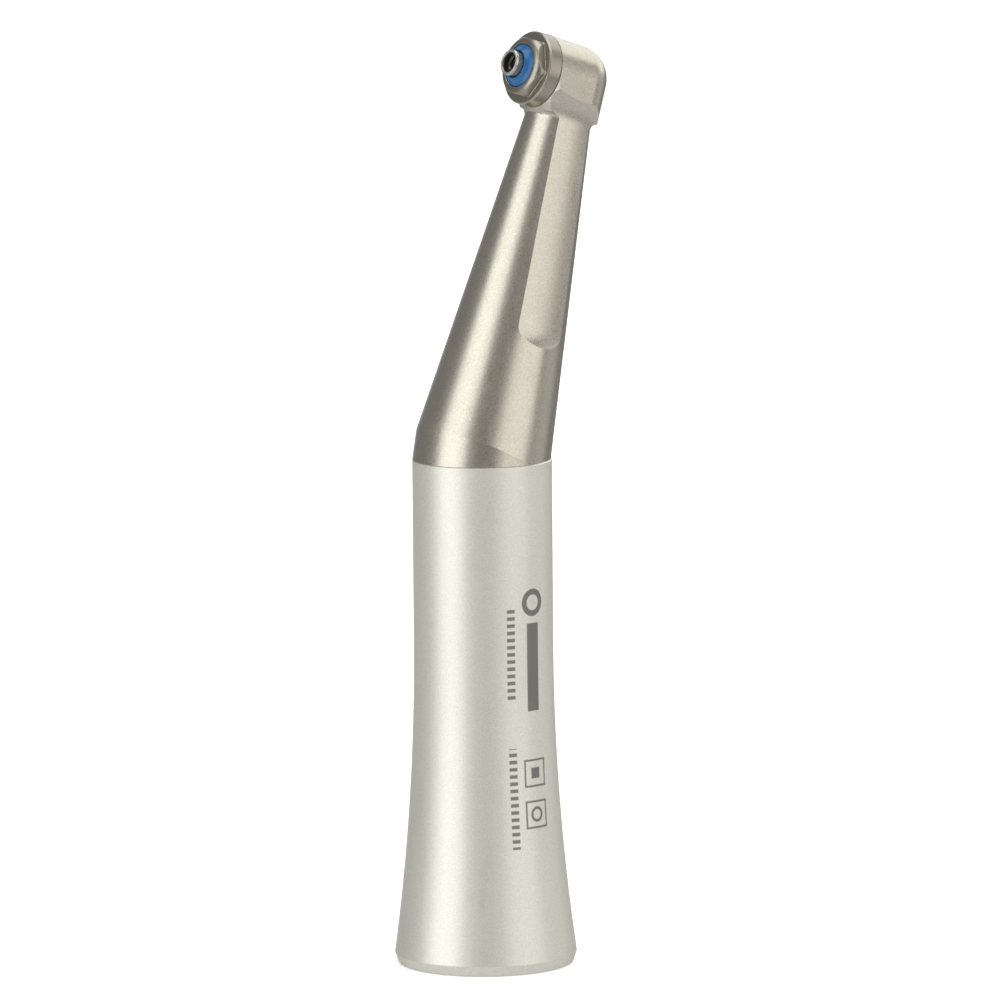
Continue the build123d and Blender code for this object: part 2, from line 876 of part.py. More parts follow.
with BuildPart() as neck_housing:
    turned(
        [
            (0, neck_low),
            (neck_radius(neck_low), neck_low),
            (neck_radius(flare_low), flare_low),
            (neck_radius(flare_low), head_distance - 0.5),
            (0, head_distance - 0.5),
        ],
        neck_section,
    )
    with BuildSketch(Plane.XY.offset(sleeve_length)):
        Circle(grip_radius)
    lean = radians(stub_lean)
    extrude(amount=head_distance + head_drop, dir=(sin(lean), 0, cos(lean)), mode=Mode.INTERSECT)
    add(neck_flare.part)
    add(head_block.part)

    # shallow, slightly convex flats along both sides of the neck, running out in a curve at each end
    for side in (1, -1):
        with BuildSketch(Plane(origin=bend_point, x_dir=(0, side, 0), z_dir=neck_back * side)):
            with BuildLine():
                floor_low = (neck_radius(flat_start) - flat_depth, flat_start)
                floor_high = (neck_radius(flat_end) - flat_depth, flat_end)
                Line(floor_low, floor_high)
                upper_runout = JernArc(floor_high, (-neck_slope, 1), flat_runout, -runout_sweep)
                lower_runout = JernArc(floor_low, (neck_slope, -1), flat_runout, runout_sweep)
                Polyline(
                    upper_runout @ 1,
                    (flat_cut_reach, (upper_runout @ 1).Y),
                    (flat_cut_reach, (lower_runout @ 1).Y),
                    lower_runout @ 1,
                )
            make_face()
        middle_radius = neck_radius((flat_start + flat_end) / 2) - flat_depth
        curve_centre = bend_point - Vector(0, side * (flat_curve_radius - middle_radius), 0)
        revolve(axis=Axis(curve_centre, neck_axis), mode=Mode.SUBTRACT)

    # spigot that the sleeve slides over, and the thread bore for the gearbox barrel
    with BuildSketch(Plane.XY.offset(neck_spigot_low)):
        Circle(sleeve_bore - spigot_fit)
    extrude(amount=sleeve_length - neck_spigot_low + join_overlap)
    turned(
        [
            (0, neck_spigot_low),
            (neck_thread_radius, neck_spigot_low),
            (neck_thread_radius, bend_height - 1.8),
            (cone_mouth_radius, bend_height + 0.4),
            (0, bend_height + 0.4),
        ],
        grip_section,
        mode=Mode.SUBTRACT,
    )
    # stepped bore along the neck
    turned(
        [
            (0, bend_chamber_back),
            (bend_chamber_radius, bend_chamber_back),
            (bend_chamber_radius, neck_nut_low),
            (neck_bearing_seat, neck_nut_low),
            (neck_bearing_seat, neck_bearing_high),
            (neck_step_radius, neck_bearing_high),
            (neck_step_radius, neck_bearing_high + 2 * collar_width),
            (neck_relief, neck_bearing_high + 2 * collar_width + collar_slope),
            (neck_relief, front_seat_low - 1.5),
            (front_bearing_seat, front_seat_low - 1.1),
            (front_bearing_seat, front_seat_high),
            (pinion_passage, front_seat_high),
            (pinion_passage, head_distance),
            (0, head_distance),
        ],
        neck_section,
        mode=Mode.SUBTRACT,
    )
    # stepped bore along the head
    turned(
        [
            (0, cap_seam + 1),
            (cap_thread_radius, cap_seam + 1),
            (cap_thread_radius, washer_seat),
            (gear_chamber, washer_seat),
            (gear_chamber, back_bearing_front + 0.1),
            (front_bearing_seat, back_bearing_front + 0.1),
            (front_bearing_seat, back_bearing_back),
            (0, back_bearing_back),
        ],
        head_section,
        mode=Mode.SUBTRACT,
    )
save(neck_housing.part, "neck_housing")

neck_nut_bore = 2.4
neck_nut_face = neck_nut_low + running_gap
with BuildPart() as neck_bearing_nut:
    turned(
        [
            (neck_nut_bore, neck_nut_face),
            (neck_bearing_seat, neck_nut_face),
            (neck_bearing_seat, neck_bearing_low),
            (neck_nut_bore, neck_bearing_low),
        ],
        neck_section,
    )
save(neck_bearing_nut.part, "neck_bearing_nut")

# ---------------------------------------------------------------- ball bearings
ball_share = 0.27
land_share = 0.12
cage_share = 0.55
groove_play = 0.02
pocket_play = 0.03


def ball_bearing(name, section, low, high, bore, outer, balls):
    """Two races with ball grooves, a ring cage and its balls, written as three pieces."""
    centre = (low + high) / 2
    pitch = (bore + outer) / 2
    ball = ball_share * (outer - bore)
    land = land_share * (outer - bore)
    cage = cage_share * land
    cage_low = centre - 0.55 * ball
    cage_high = centre + 1.2 * ball
    axis = Axis(section.origin, section.y_dir)
    centre_plane = Plane(
        origin=section.from_local_coords((0, centre)), x_dir=section.x_dir, z_dir=section.y_dir
    )
    with BuildPart() as outer_race:
        turned([(pitch + land, low), (outer, low), (outer, high), (pitch + land, high)], section)
        with Locations(centre_plane):
            Torus(pitch, ball + groove_play, mode=Mode.SUBTRACT)
    save(outer_race.part, f"{name}_outer_race")

    with BuildPart() as inner_race:
        turned([(bore, low), (pitch - land, low), (pitch - land, high), (bore, high)], section)
        with Locations(centre_plane):
            Torus(pitch, ball + groove_play, mode=Mode.SUBTRACT)
    save(inner_race.part, f"{name}_inner_race")

    with BuildPart() as ball_cage:
        turned(
            [
                (pitch - cage, cage_low),
                (pitch + cage, cage_low),
                (pitch + cage, cage_high),
                (pitch - cage, cage_high),
            ],
            section,
        )
        with Locations(centre_plane):
            with PolarLocations(pitch, balls):
                Sphere(ball + pocket_play, mode=Mode.SUBTRACT)
                Sphere(ball)
    save(ball_cage.part, f"{name}_balls")


ball_bearing("input_bearing", grip_section, input_bearing_low, plate_end, main_journal, bearing_seat, 8)
for end, low in (("rear", rear_bearing_low), ("front", front_bearing_low)):
    ball_bearing(
        f"carrier_{end}_bearing", grip_section, low, low + bearing_width, main_journal, bearing_seat, 8
    )
ball_bearing(
    "neck_rear_bearing", neck_section, neck_bearing_low, neck_bearing_high, main_journal, neck_bearing_seat, 8
)
ball_bearing(
    "neck_front_bearing", neck_section, front_seat_low, front_seat_high, small_journal, front_bearing_seat, 7
)
ball_bearing(
    "head_front_bearing", head_section, head_bearing_back, head_bearing_front,
    front_bearing_bore, front_bearing_outer, 9,
)
ball_bearing(
    "head_back_bearing", head_section, back_bearing_back, back_bearing_front,
    small_journal, front_bearing_seat, 7,
)
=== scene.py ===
"""Contra angle handpiece: looks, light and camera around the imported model.

Everything is in metres, in the model's own frame: the origin is the centre of the rear rim, +Z runs along
the grip, the neck leans to +X and the working end looks to -X. Profiles are written in millimetres.
"""
from math import cos, pi, radians, sin, tau

import bpy
from mathutils import Matrix, Vector


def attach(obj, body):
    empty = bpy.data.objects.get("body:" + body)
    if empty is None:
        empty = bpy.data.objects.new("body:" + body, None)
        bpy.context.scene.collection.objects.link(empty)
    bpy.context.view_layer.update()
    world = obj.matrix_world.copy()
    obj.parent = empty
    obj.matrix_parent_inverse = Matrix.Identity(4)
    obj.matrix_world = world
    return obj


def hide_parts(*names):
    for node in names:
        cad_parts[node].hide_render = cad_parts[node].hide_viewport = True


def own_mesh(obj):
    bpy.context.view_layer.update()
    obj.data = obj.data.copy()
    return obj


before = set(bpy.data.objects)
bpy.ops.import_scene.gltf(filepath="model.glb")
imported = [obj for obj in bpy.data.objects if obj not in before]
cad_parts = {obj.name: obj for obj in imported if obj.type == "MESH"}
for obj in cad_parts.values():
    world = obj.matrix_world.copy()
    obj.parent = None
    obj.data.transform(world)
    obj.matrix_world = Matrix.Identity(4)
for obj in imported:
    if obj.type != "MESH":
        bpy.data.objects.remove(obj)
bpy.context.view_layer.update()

MM = 0.001
UP = Vector((0, 0, 1))

# the bend, the head and its axis, in millimetres
BEND_POINT = Vector((0, 0, 57.35))
NECK_TILT = radians(16.65)
NECK_AXIS = Vector((sin(NECK_TILT), 0, cos(NECK_TILT)))
WORKING_AXIS = Vector((-cos(NECK_TILT), 0, sin(NECK_TILT)))
HEAD_CENTRE = BEND_POINT + NECK_AXIS * 42.3
SIDE = Vector((0, 1, 0))

# ---------------------------------------------------------------- camera
CAMERA_AZIMUTH = radians(-36.54)
CAMERA_ELEVATION = radians(8.095)
CAMERA_ROLL = radians(-0.438)
CAMERA_DISTANCE = 1022.45 * MM
CAMERA_LENS = 331.75
CAMERA_TARGET = Vector((3.0, 0.0, 52.0)) * MM
CAMERA_SHIFT_X = -0.00415
CAMERA_SHIFT_Y = -0.0037
CAMERA_NEAR = 0.01
CAMERA_FAR = 50


def direction(azimuth, elevation):
    """Unit vector from the object towards a place at that azimuth and elevation, both in radians."""
    return Vector((sin(azimuth) * cos(elevation), -cos(azimuth) * cos(elevation), sin(elevation)))


def add_camera():
    """The camera at the viewing angle of the picture, its roll about its own line of sight included."""
    back = direction(CAMERA_AZIMUTH, CAMERA_ELEVATION)
    level = Vector((cos(CAMERA_AZIMUTH), sin(CAMERA_AZIMUTH), 0))
    upright = back.cross(level)
    right = level * cos(CAMERA_ROLL) + upright * sin(CAMERA_ROLL)
    top = upright * cos(CAMERA_ROLL) - level * sin(CAMERA_ROLL)
    data = bpy.data.cameras.new("camera")
    data.lens = CAMERA_LENS
    data.shift_x = CAMERA_SHIFT_X
    data.shift_y = CAMERA_SHIFT_Y
    data.clip_start = CAMERA_NEAR
    data.clip_end = CAMERA_FAR
    camera = bpy.data.objects.new("camera", data)
    turn = Matrix((right, top, back)).transposed().to_4x4()
    camera.matrix_world = Matrix.Translation(CAMERA_TARGET + back * CAMERA_DISTANCE) @ turn
    bpy.context.scene.collection.objects.link(camera)
    bpy.context.scene.camera = camera


# ---------------------------------------------------------------- light and floor
LIGHT_CENTRE = Vector((0, 0, 50)) * MM
FLOOR_RADIUS = 6.0
FLOOR_COLOUR = (0.93, 0.93, 0.93, 1)
FLOOR_ROUGHNESS = 0.9
SKY_LEVEL = 1.08
SKY_IN_METAL = 0.22
TABLE_IN_METAL = 0.62
TABLE_FROM = -0.30
TABLE_TO = -0.55


def add_softbox(name, azimuth, elevation, distance, width, height, level, colour):
    """Area light that faces the object, its radiance given directly."""
    data = bpy.data.lights.new(name, "AREA")
    data.shape = "RECTANGLE"
    data.size = width
    data.size_y = height
    data.energy = level * pi * width * height
    data.color = colour
    light = bpy.data.objects.new(name, data)
    towards = direction(azimuth, elevation)
    light.location = LIGHT_CENTRE + towards * distance
    light.rotation_mode = "QUATERNION"
    light.rotation_quaternion = towards.to_track_quat("Z", "Y")
    light.visible_camera = False
    bpy.context.scene.collection.objects.link(light)


def add_lights():
    """Softboxes either side of the camera, dim panels further round, one high behind and one overhead."""
    add_softbox(
        "softbox_left", azimuth=CAMERA_AZIMUTH - radians(55), elevation=radians(13), distance=0.6,
        width=0.52, height=0.80, level=1.50, colour=(0.98, 1.0, 1.0),
    )
    add_softbox(
        "softbox_right", azimuth=CAMERA_AZIMUTH + radians(54), elevation=radians(20), distance=0.6,
        width=0.64, height=0.70, level=0.97, colour=(1.0, 0.98, 0.95),
    )
    add_softbox(
        "panel_right", azimuth=CAMERA_AZIMUTH + radians(110), elevation=0, distance=0.6,
        width=0.35, height=0.60, level=0.30, colour=(1.0, 0.98, 0.97),
    )
    add_softbox(
        "panel_high", azimuth=CAMERA_AZIMUTH + radians(142), elevation=radians(30), distance=0.8,
        width=0.80, height=0.60, level=1.05, colour=(1.0, 1.0, 0.98),
    )
    add_softbox(
        "panel_back", azimuth=CAMERA_AZIMUTH + radians(185), elevation=radians(10), distance=0.8,
        width=0.50, height=1.00, level=0.40, colour=(0.95, 0.97, 1.0),
    )
    add_softbox(
        "panel_top", azimuth=0, elevation=radians(89.9), distance=0.9,
        width=0.90, height=0.90, level=1.60, colour=(1.0, 1.0, 1.0),
    )


def add_world():
    """Even pale surroundings. Metal mirrors them darker at eye level and paler from the table below."""
    world = bpy.data.worlds.new("studio")
    world.use_nodes = True
    world.cycles.sampling_method = "NONE"
    bpy.context.scene.world = world
    nodes = world.node_tree.nodes
    links = world.node_tree.links
    background = nodes["Background"]
    rays = nodes.new("ShaderNodeLightPath")
    place = nodes.new("ShaderNodeTexCoord")
    split = nodes.new("ShaderNodeSeparateXYZ")
    below = nodes.new("ShaderNodeMapRange")
    below.inputs["From Min"].default_value = TABLE_FROM
    below.inputs["From Max"].default_value = TABLE_TO
    below.inputs["To Min"].default_value = SKY_IN_METAL
    below.inputs["To Max"].default_value = TABLE_IN_METAL
    level = nodes.new("ShaderNodeMapRange")
    level.inputs["To Min"].default_value = SKY_LEVEL
    links.new(place.outputs["Generated"], split.inputs[0])
    links.new(split.outputs["Z"], below.inputs["Value"])
    links.new(below.outputs["Result"], level.inputs["To Max"])
    links.new(rays.outputs["Is Glossy Ray"], level.inputs["Value"])
    links.new(level.outputs["Result"], background.inputs["Strength"])
    background.inputs["Color"].default_value = (1, 1, 1, 1)


def add_floor():
    """Plain pale floor under the rear rim."""
    mesh = bpy.data.meshes.new("floor")
    corners = [(-1, -1, 0), (1, -1, 0), (1, 1, 0), (-1, 1, 0)]
    mesh.from_pydata([Vector(c) * FLOOR_RADIUS for c in corners], [], [(0, 1, 2, 3)])
    floor = bpy.data.objects.new("floor", mesh)
    bpy.context.scene.collection.objects.link(floor)
    floor.visible_glossy = False
    floor.visible_shadow = False
    paint = bpy.data.materials.new("floor_paint")
    paint.use_nodes = True
    shader = paint.node_tree.nodes["Principled BSDF"]
    shader.inputs["Base Color"].default_value = FLOOR_COLOUR
    shader.inputs["Roughness"].default_value = FLOOR_ROUGHNESS
    shader.inputs["Specular IOR Level"].default_value = 0.0
    mesh.materials.append(paint)


# ---------------------------------------------------------------- shader helpers
BEVEL_SAMPLES = 6
EDGE_BEND_LOW = 0.01
EDGE_BEND_HIGH = 0.12


class Graph:
    """The node tree of one material, with short calls for its nodes."""

    def __init__(self, name):
        self.material = bpy.data.materials.new(name)
        self.material.use_nodes = True
        self.tree = self.material.node_tree
        self.shader = self.tree.nodes["Principled BSDF"]
        self.place = self.add("TexCoord").outputs["Object"]

    def add(self, kind, settings=None, **inputs):
        """A node of that kind; each input is a number, a colour or another node's output."""
        node = self.tree.nodes.new("ShaderNode" + kind)
        for key, value in (settings or {}).items():
            setattr(node, key, value)
        for key, value in inputs.items():
            self.feed(node.inputs[key.replace("_", " ")], value)
        return node

    def feed(self, socket, value):
        """Links a socket, or sets its value."""
        if isinstance(value, bpy.types.NodeSocket):
            self.tree.links.new(value, socket)
        else:
            socket.default_value = value

    def math(self, operation, first, second=0.0):
        """Output of a math node."""
        node = self.tree.nodes.new("ShaderNodeMath")
        node.operation = operation
        for socket, value in zip(node.inputs, (first, second)):
            self.feed(socket, value)
        return node.outputs[0]

    def noise(self, size, detail=2.0, stretch=(1, 1, 1)):
        """Noise between 0 and 1 whose features are about that size, in metres."""
        mapping = self.add("Mapping", Vector=self.place, Scale=stretch)
        return self.add("TexNoise", Vector=mapping.outputs[0], Scale=1 / size, Detail=detail).outputs[0]

    def between(self, value, low, high, result_low=0.0, result_high=1.0):
        """Maps a range of values onto another, clamped."""
        node = self.add("MapRange", Value=value)
        for socket, number in zip(node.inputs[1:5], (low, high, result_low, result_high)):
            socket.default_value = number
        return node.outputs[0]

    def blend(self, share, first, second, mode="MIX"):
        """Mix of two colours."""
        node = self.tree.nodes.new("ShaderNodeMix")
        node.data_type = "RGBA"
        node.blend_type = mode
        self.feed(node.inputs[0], share)
        self.feed(node.inputs[6], first)
        self.feed(node.inputs[7], second)
        return node.outputs[2]

    def edges(self, radius):
        """Mask that is 1 along sharp convex or concave edges, and the softened normal."""
        soft = self.add("Bevel", {"samples": BEVEL_SAMPLES}, Radius=radius).outputs[0]
        true = self.add("NewGeometry").outputs["Normal"]
        meet = self.add("VectorMath", {"operation": "DOT_PRODUCT"})
        self.feed(meet.inputs[0], soft)
        self.feed(meet.inputs[1], true)
        bend = self.math("SUBTRACT", 1.0, meet.outputs["Value"])
        return self.between(bend, EDGE_BEND_LOW, EDGE_BEND_HIGH), soft

    def bump(self, height, distance, normal=None):
        """Bump from a height between 0 and 1 that spans a distance in metres."""
        node = self.add("Bump", Height=height, Distance=distance, Strength=1.0)
        if normal is not None:
            self.feed(node.inputs["Normal"], normal)
        return node.outputs[0]


def rgb(red, green, blue):
    """Colour for a socket, from linear values."""
    return (red, green, blue, 1.0)


# ---------------------------------------------------------------- materials
# the part of a noise's values that its mask spreads over
NOISE_RANGE = (0.3, 0.7)

PIT_SIZE = 0.20 * MM
SPECKLE_SIZE = 0.17 * MM
CLOUD_SIZE = 6 * MM
SCUFF_SIZE = 2.2 * MM
SCUFF_STRETCH = (1, 1, 0.35)
WEAR_SIZE = 0.5 * MM
SCUFF_POLISH = 0.04
WEAR_POLISH = 0.10
BLASTED_SPREAD = 0.05

MARK_AZIMUTH = radians(-6)
MARK_GREY_EDGE = 0.05
MARK_STRENGTH = 0.85
MARK_COLOUR = rgb(0.13, 0.13, 0.12)
# places and sizes of the mark's shapes in millimetres, across the grip and along it
MARK_COLUMN = 1.9
TICK_COLUMN = -1.0
TICK_WIDTH = 0.95
TICK_STEP = 0.8
UPPER_SQUARE = 22.2
LOWER_SQUARE = 17.6
SQUARE_SIDE = 3.1
SQUARE_LINE = 0.22

TURNED_EDGE = 0.04 * MM
TURNED_HAZE_SIZE = 1.4 * MM
TURNED_SHADE = rgb(0.72, 0.7, 0.68)
BRIGHT_EDGE = rgb(0.85, 0.84, 0.82)
BRIGHT_EDGE_SHARE = 0.6
# painted shade: dark colour laid inside the chuck's bore, where shade falls
PAINTED_BORE_SHADE = rgb(0.13, 0.12, 0.10)
BORE_FADE_OUTSIDE = 0.06
BORE_FADE_INSIDE = 0.02

RUBBER_GRAIN_SIZE = 0.12 * MM
RUBBER_PATCH_SIZE = 1.1 * MM
RUBBER_LIGHT = rgb(1.35, 1.3, 1.25)
RUBBER_SPREAD = 0.06
RUBBER_BUMP = 0.006 * MM


def blasted_metal(name, colour, worn, metallic, roughness, grain, edge_radius, sparkle, clouding, mark=False):
    """Bead-blasted and plated metal: fine sparkle, soft cloudy polish, faint scuffs and bright worn edges."""
    g = Graph(name)
    pits = g.noise(PIT_SIZE, 1.5)
    speckle = g.noise(SPECKLE_SIZE, 1.0)
    clouds = g.noise(CLOUD_SIZE, 3.0)
    scuffs = g.between(g.noise(SCUFF_SIZE, 4.0, SCUFF_STRETCH), 0.55, 0.75)
    edge, soft_normal = g.edges(edge_radius)
    wear = g.math("MULTIPLY", edge, g.between(g.noise(WEAR_SIZE, 3.0), 0.30, 0.55))
    darker = g.blend(1.0, colour, rgb(1 - sparkle, 1 - sparkle, 1 - sparkle), "MULTIPLY")
    body = g.blend(g.between(speckle, 0.35, 0.68), darker, colour)
    body = g.blend(g.between(clouds, 0.35, 0.7, 0.0, clouding), body, worn)
    body = g.blend(wear, body, worn)
    if mark:
        body = g.blend(g.math("MULTIPLY", laser_mark(g), MARK_STRENGTH), body, MARK_COLOUR)
    g.feed(g.shader.inputs["Base Color"], body)
    g.shader.inputs["Metallic"].default_value = metallic
    rough = g.between(pits, *NOISE_RANGE, roughness - BLASTED_SPREAD, roughness + BLASTED_SPREAD)
    rough = g.math("SUBTRACT", rough, g.math("MULTIPLY", scuffs, SCUFF_POLISH))
    rough = g.math("SUBTRACT", rough, g.math("MULTIPLY", wear, WEAR_POLISH))
    g.feed(g.shader.inputs["Roughness"], rough)
    g.feed(g.shader.inputs["Normal"], g.bump(pits, grain, soft_normal))
    return g.material


def laser_mark(g):
    """Mask of a plain engraved mark on the grip: a ring, a bar, two ladders of ticks and two squares."""
    split = g.add("SeparateXYZ")
    g.feed(split.inputs[0], g.place)
    squares = [g.math("POWER", split.outputs[k], 2.0) for k in (0, 1)]
    radius = g.math("SQRT", g.math("ADD", squares[0], squares[1]))
    azimuth = g.math("ARCTAN2", split.outputs[0], g.math("MULTIPLY", split.outputs[1], -1.0))
    across = g.math("DIVIDE", g.math("MULTIPLY", g.math("SUBTRACT", azimuth, MARK_AZIMUTH), radius), MM)
    along = g.math("DIVIDE", split.outputs[2], MM)

    def outside_box(centre_across, centre_along, width, length, height=along):
        """Distance outside a box, in millimetres and negative inside it."""
        side = g.math("SUBTRACT", g.math("ABSOLUTE", g.math("SUBTRACT", across, centre_across)), width / 2)
        end = g.math("SUBTRACT", g.math("ABSOLUTE", g.math("SUBTRACT", height, centre_along)), length / 2)
        return g.math("MAXIMUM", side, end)

    def outside_ring(centre_across, centre_along, ring_radius, line):
        """Distance outside a ring's line."""
        right = g.math("POWER", g.math("SUBTRACT", across, centre_across), 2.0)
        above = g.math("POWER", g.math("SUBTRACT", along, centre_along), 2.0)
        away = g.math("SUBTRACT", g.math("SQRT", g.math("ADD", right, above)), ring_radius)
        return g.math("SUBTRACT", g.math("ABSOLUTE", away), line / 2)

    def ticks(centre_across, centre_along, width, length, step):
        """Distance outside a ladder of short ticks, as high as the gaps between them."""
        place = g.math("MULTIPLY", g.math("FRACT", g.math("DIVIDE", along, step)), step)
        rung = outside_box(centre_across, step / 2, width, step / 2, height=place)
        return g.math("MAXIMUM", rung, outside_box(centre_across, centre_along, width, length))

    def frame_line(centre_across, centre_along, side, line):
        """Distance outside the line of a square."""
        outer = outside_box(centre_across, centre_along, side, side)
        inner = outside_box(centre_across, centre_along, side - 2 * line, side - 2 * line)
        return g.math("MAXIMUM", outer, g.math("MULTIPLY", inner, -1.0))

    shapes = (
        outside_ring(MARK_COLUMN, 41.2, ring_radius=1.2, line=0.65),
        outside_box(MARK_COLUMN, 34.0, width=1.7, length=9.8),
        ticks(TICK_COLUMN, 35.5, TICK_WIDTH, length=10.4, step=TICK_STEP),
        frame_line(MARK_COLUMN, UPPER_SQUARE, SQUARE_SIDE, SQUARE_LINE),
        outside_box(MARK_COLUMN, UPPER_SQUARE, width=1.2, length=1.2),
        frame_line(MARK_COLUMN, LOWER_SQUARE, SQUARE_SIDE, SQUARE_LINE),
        outside_ring(MARK_COLUMN, LOWER_SQUARE, ring_radius=0.7, line=0.3),
        ticks(TICK_COLUMN, 19.5, TICK_WIDTH, length=11.2, step=TICK_STEP),
    )
    nearest = shapes[0]
    for shape in shapes[1:]:
        nearest = g.math("MINIMUM", nearest, shape)
    outward = g.math("LESS_THAN", split.outputs[1], 0.0)
    return g.math("MULTIPLY", g.between(nearest, MARK_GREY_EDGE, -MARK_GREY_EDGE), outward)


def inside_bore(g, radius):
    """Mask of what lies nearer to the head's axis than that radius in millimetres."""
    from_centre = g.add("VectorMath", {"operation": "SUBTRACT"})
    g.feed(from_centre.inputs[0], g.place)
    g.feed(from_centre.inputs[1], HEAD_CENTRE * MM)
    across = g.add("VectorMath", {"operation": "CROSS_PRODUCT"})
    g.feed(across.inputs[0], from_centre.outputs[0])
    g.feed(across.inputs[1], WORKING_AXIS)
    length = g.add("VectorMath", {"operation": "LENGTH"})
    g.feed(length.inputs[0], across.outputs[0])
    outer = (radius + BORE_FADE_OUTSIDE) * MM
    inner = (radius - BORE_FADE_INSIDE) * MM
    return g.between(length.outputs["Value"], outer, inner)


def turned_steel(name, colour, roughness, line_size, line_depth, metallic=1.0, bore=0.0):
    """Fine-turned or ground steel with faint lines, bright edges and painted shade that darkens the bore
    (radius in mm).
    """
    g = Graph(name)
    rings = g.noise(line_size, 2.0)
    haze = g.noise(TURNED_HAZE_SIZE, 3.0)
    edge, soft_normal = g.edges(TURNED_EDGE)
    shade = g.blend(1.0, colour, TURNED_SHADE, "MULTIPLY")
    body = g.blend(g.between(haze, *NOISE_RANGE), shade, colour)
    body = g.blend(g.math("MULTIPLY", edge, BRIGHT_EDGE_SHARE), body, BRIGHT_EDGE)
    if bore:
        # painted shade: darkens everything nearer the head's axis than the bore's radius
        body = g.blend(inside_bore(g, bore), body, PAINTED_BORE_SHADE)
    g.feed(g.shader.inputs["Base Color"], body)
    g.shader.inputs["Metallic"].default_value = metallic
    rough = g.between(haze, *NOISE_RANGE, roughness - 0.05, roughness + 0.08)
    g.feed(g.shader.inputs["Roughness"], rough)
    g.feed(g.shader.inputs["Normal"], g.bump(rings, line_depth, soft_normal))
    return g.material


def soft_rubber(name, colour, roughness, mottle):
    """Moulded elastomer with a faint mottle and a satin skin."""
    g = Graph(name)
    grain = g.noise(RUBBER_GRAIN_SIZE, 2.0)
    patches = g.noise(RUBBER_PATCH_SIZE, 3.0)
    light = g.blend(1.0, colour, RUBBER_LIGHT, "MULTIPLY")
    body = g.blend(g.between(patches, *NOISE_RANGE, 0.0, mottle), colour, light)
    g.feed(g.shader.inputs["Base Color"], body)
    rough = g.between(grain, *NOISE_RANGE, roughness - RUBBER_SPREAD, roughness + RUBBER_SPREAD)
    g.feed(g.shader.inputs["Roughness"], rough)
    g.feed(g.shader.inputs["Normal"], g.bump(grain, RUBBER_BUMP))
    return g.material


def make_materials():
    """One material for each slot of the record."""
    return {
        "grip_metal": blasted_metal(
            "grip_metal", colour=rgb(0.81, 0.80, 0.715), worn=rgb(0.88, 0.88, 0.83),
            metallic=0.82, roughness=0.46, grain=0.005 * MM, edge_radius=0.10 * MM,
            sparkle=0.10, clouding=0.06, mark=True,
        ),
        "neck_metal": blasted_metal(
            "neck_metal", colour=rgb(0.70, 0.655, 0.56), worn=rgb(0.86, 0.83, 0.76),
            metallic=1.0, roughness=0.32, grain=0.005 * MM, edge_radius=0.08 * MM,
            sparkle=0.16, clouding=0.08,
        ),
        "cap_metal": blasted_metal(
            "cap_metal", colour=rgb(0.43, 0.40, 0.335), worn=rgb(0.92, 0.90, 0.84),
            metallic=1.0, roughness=0.34, grain=0.005 * MM, edge_radius=0.10 * MM,
            sparkle=0.14, clouding=0.06,
        ),
        "barrel_steel": turned_steel(
            "barrel_steel", rgb(0.55, 0.54, 0.52), roughness=0.28, line_size=0.3 * MM, line_depth=0.004 * MM,
        ),
        "chuck_steel": turned_steel(
            "chuck_steel", rgb(0.62, 0.60, 0.565), roughness=0.24, line_size=0.2 * MM, line_depth=0.0015 * MM,
            metallic=0.92, bore=1.12,
        ),
        "spring_steel": turned_steel(
            "spring_steel", rgb(0.50, 0.49, 0.47), roughness=0.22, line_size=0.2 * MM, line_depth=0.002 * MM,
        ),
        "gear_steel": turned_steel(
            "gear_steel", rgb(0.48, 0.46, 0.43), roughness=0.3, line_size=0.2 * MM, line_depth=0.004 * MM,
        ),
        "spacer_steel": turned_steel(
            "spacer_steel", rgb(0.56, 0.55, 0.53), roughness=0.3, line_size=0.3 * MM, line_depth=0.004 * MM,
        ),
        "race_steel": turned_steel(
            "race_steel", rgb(0.62, 0.61, 0.60), roughness=0.15, line_size=0.2 * MM, line_depth=0.002 * MM,
        ),
        "ball_steel": turned_steel(
            "ball_steel", rgb(0.66, 0.65, 0.64), roughness=0.08, line_size=0.3 * MM, line_depth=0.001 * MM,
        ),
        "nut_brass": turned_steel(
            "nut_brass", rgb(0.72, 0.52, 0.24), roughness=0.25, line_size=0.3 * MM, line_depth=0.004 * MM,
        ),
        "ring_rubber": soft_rubber("ring_rubber", rgb(0.02, 0.02, 0.021), roughness=0.45, mottle=0.4),
        "seal_blue": soft_rubber("seal_blue", rgb(0.007, 0.072, 0.185), roughness=0.22, mottle=0.30),
    }


def paint_frame(materials):
    """Gives each CAD node the finished material of its own slot."""
    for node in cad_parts.values():
        slot = node.data.materials[0].name
        node.data.materials[0] = materials[slot]


# ---------------------------------------------------------------- finer pieces that stand for CAD nodes
CREASE_ANGLE = radians(35)


def make_piece(name, points, faces, slot, body, node):
    """Object from points in millimetres, smooth with sharp creases, that stands for one CAD node."""
    mesh = bpy.data.meshes.new(name)
    mesh.from_pydata([point * MM for point in points], [], faces)
    mesh.update()
    mesh.shade_smooth()
    mesh.set_sharp_from_angle(angle=CREASE_ANGLE)
    mesh.materials.append(finishes[slot])
    piece = bpy.data.objects.new(name, mesh)
    bpy.context.scene.collection.objects.link(piece)
    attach(piece, body)
    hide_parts(node)
    return piece


def turned_faces(rings, segments, closed):
    """Faces between rings of points; a ring of one point is a pole on the axis."""
    faces = []
    pairs = list(zip(rings, rings[1:]))
    if closed:
        pairs.append((rings[-1], rings[0]))
    for first, second in pairs:
        for k in range(segments):
            n = (k + 1) % segments
            if len(first) == 1:
                faces.append((first[0], second[n], second[k]))
            elif len(second) == 1:
                faces.append((first[k], first[n], second[0]))
            else:
                faces.append((first[k], first[n], second[n], second[k]))
    return faces


